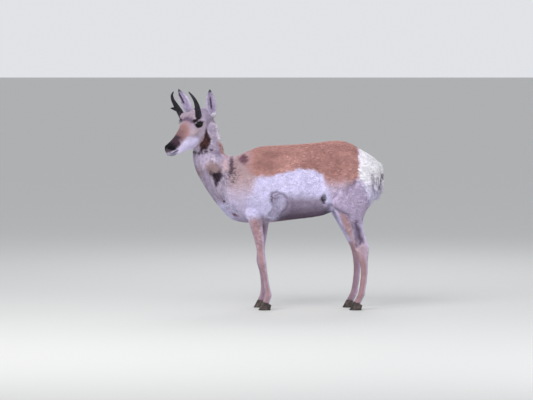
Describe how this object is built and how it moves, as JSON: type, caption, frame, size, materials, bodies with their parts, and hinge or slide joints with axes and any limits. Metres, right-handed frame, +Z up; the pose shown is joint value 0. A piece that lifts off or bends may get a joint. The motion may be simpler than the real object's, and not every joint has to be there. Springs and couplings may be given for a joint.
{
  "type": "pronghorn",
  "caption": "Standing pronghorn buck at life size, head turned to its left, with short pronged horns, upright ears, low mane and cloven hooves.",
  "frame": {"origin": "on the ground under the middle of the animal's bounding box", "axes": "+Z up, the body faces -X, the animal's left side is -Y and its right side +Y"},
  "size_m": [1.1782, 0.3984, 1.1864],
  "materials": {
    "coat": "short dense hair, rufous tan above, white below and on the rump, matt",
    "ear": "short soft hair, grey tan with a dark edge",
    "horn": "black keratin, slightly ridged, dull shine",
    "eye": "wet, nearly black",
    "hoof": "black horn, worn smooth"
  },
  "bodies": {
    "root": {"head": "coat", "horn_left": "horn", "ear_left": "ear", "eye_left": "eye", "horn_right": "horn", "ear_right": "ear", "eye_right": "eye", "neck": "coat", "torso": "coat", "tail": "coat", "leg_front_left": "coat", "hoof_front_left_outer": "hoof", "hoof_front_left_inner": "hoof", "leg_front_right": "coat", "hoof_front_right_outer": "hoof", "hoof_front_right_inner": "hoof", "leg_hind_left": "coat", "hoof_hind_left_outer": "hoof", "hoof_hind_left_inner": "hoof", "leg_hind_right": "coat", "hoof_hind_right_outer": "hoof", "hoof_hind_right_inner": "hoof"}
  },
  "joints": []
}
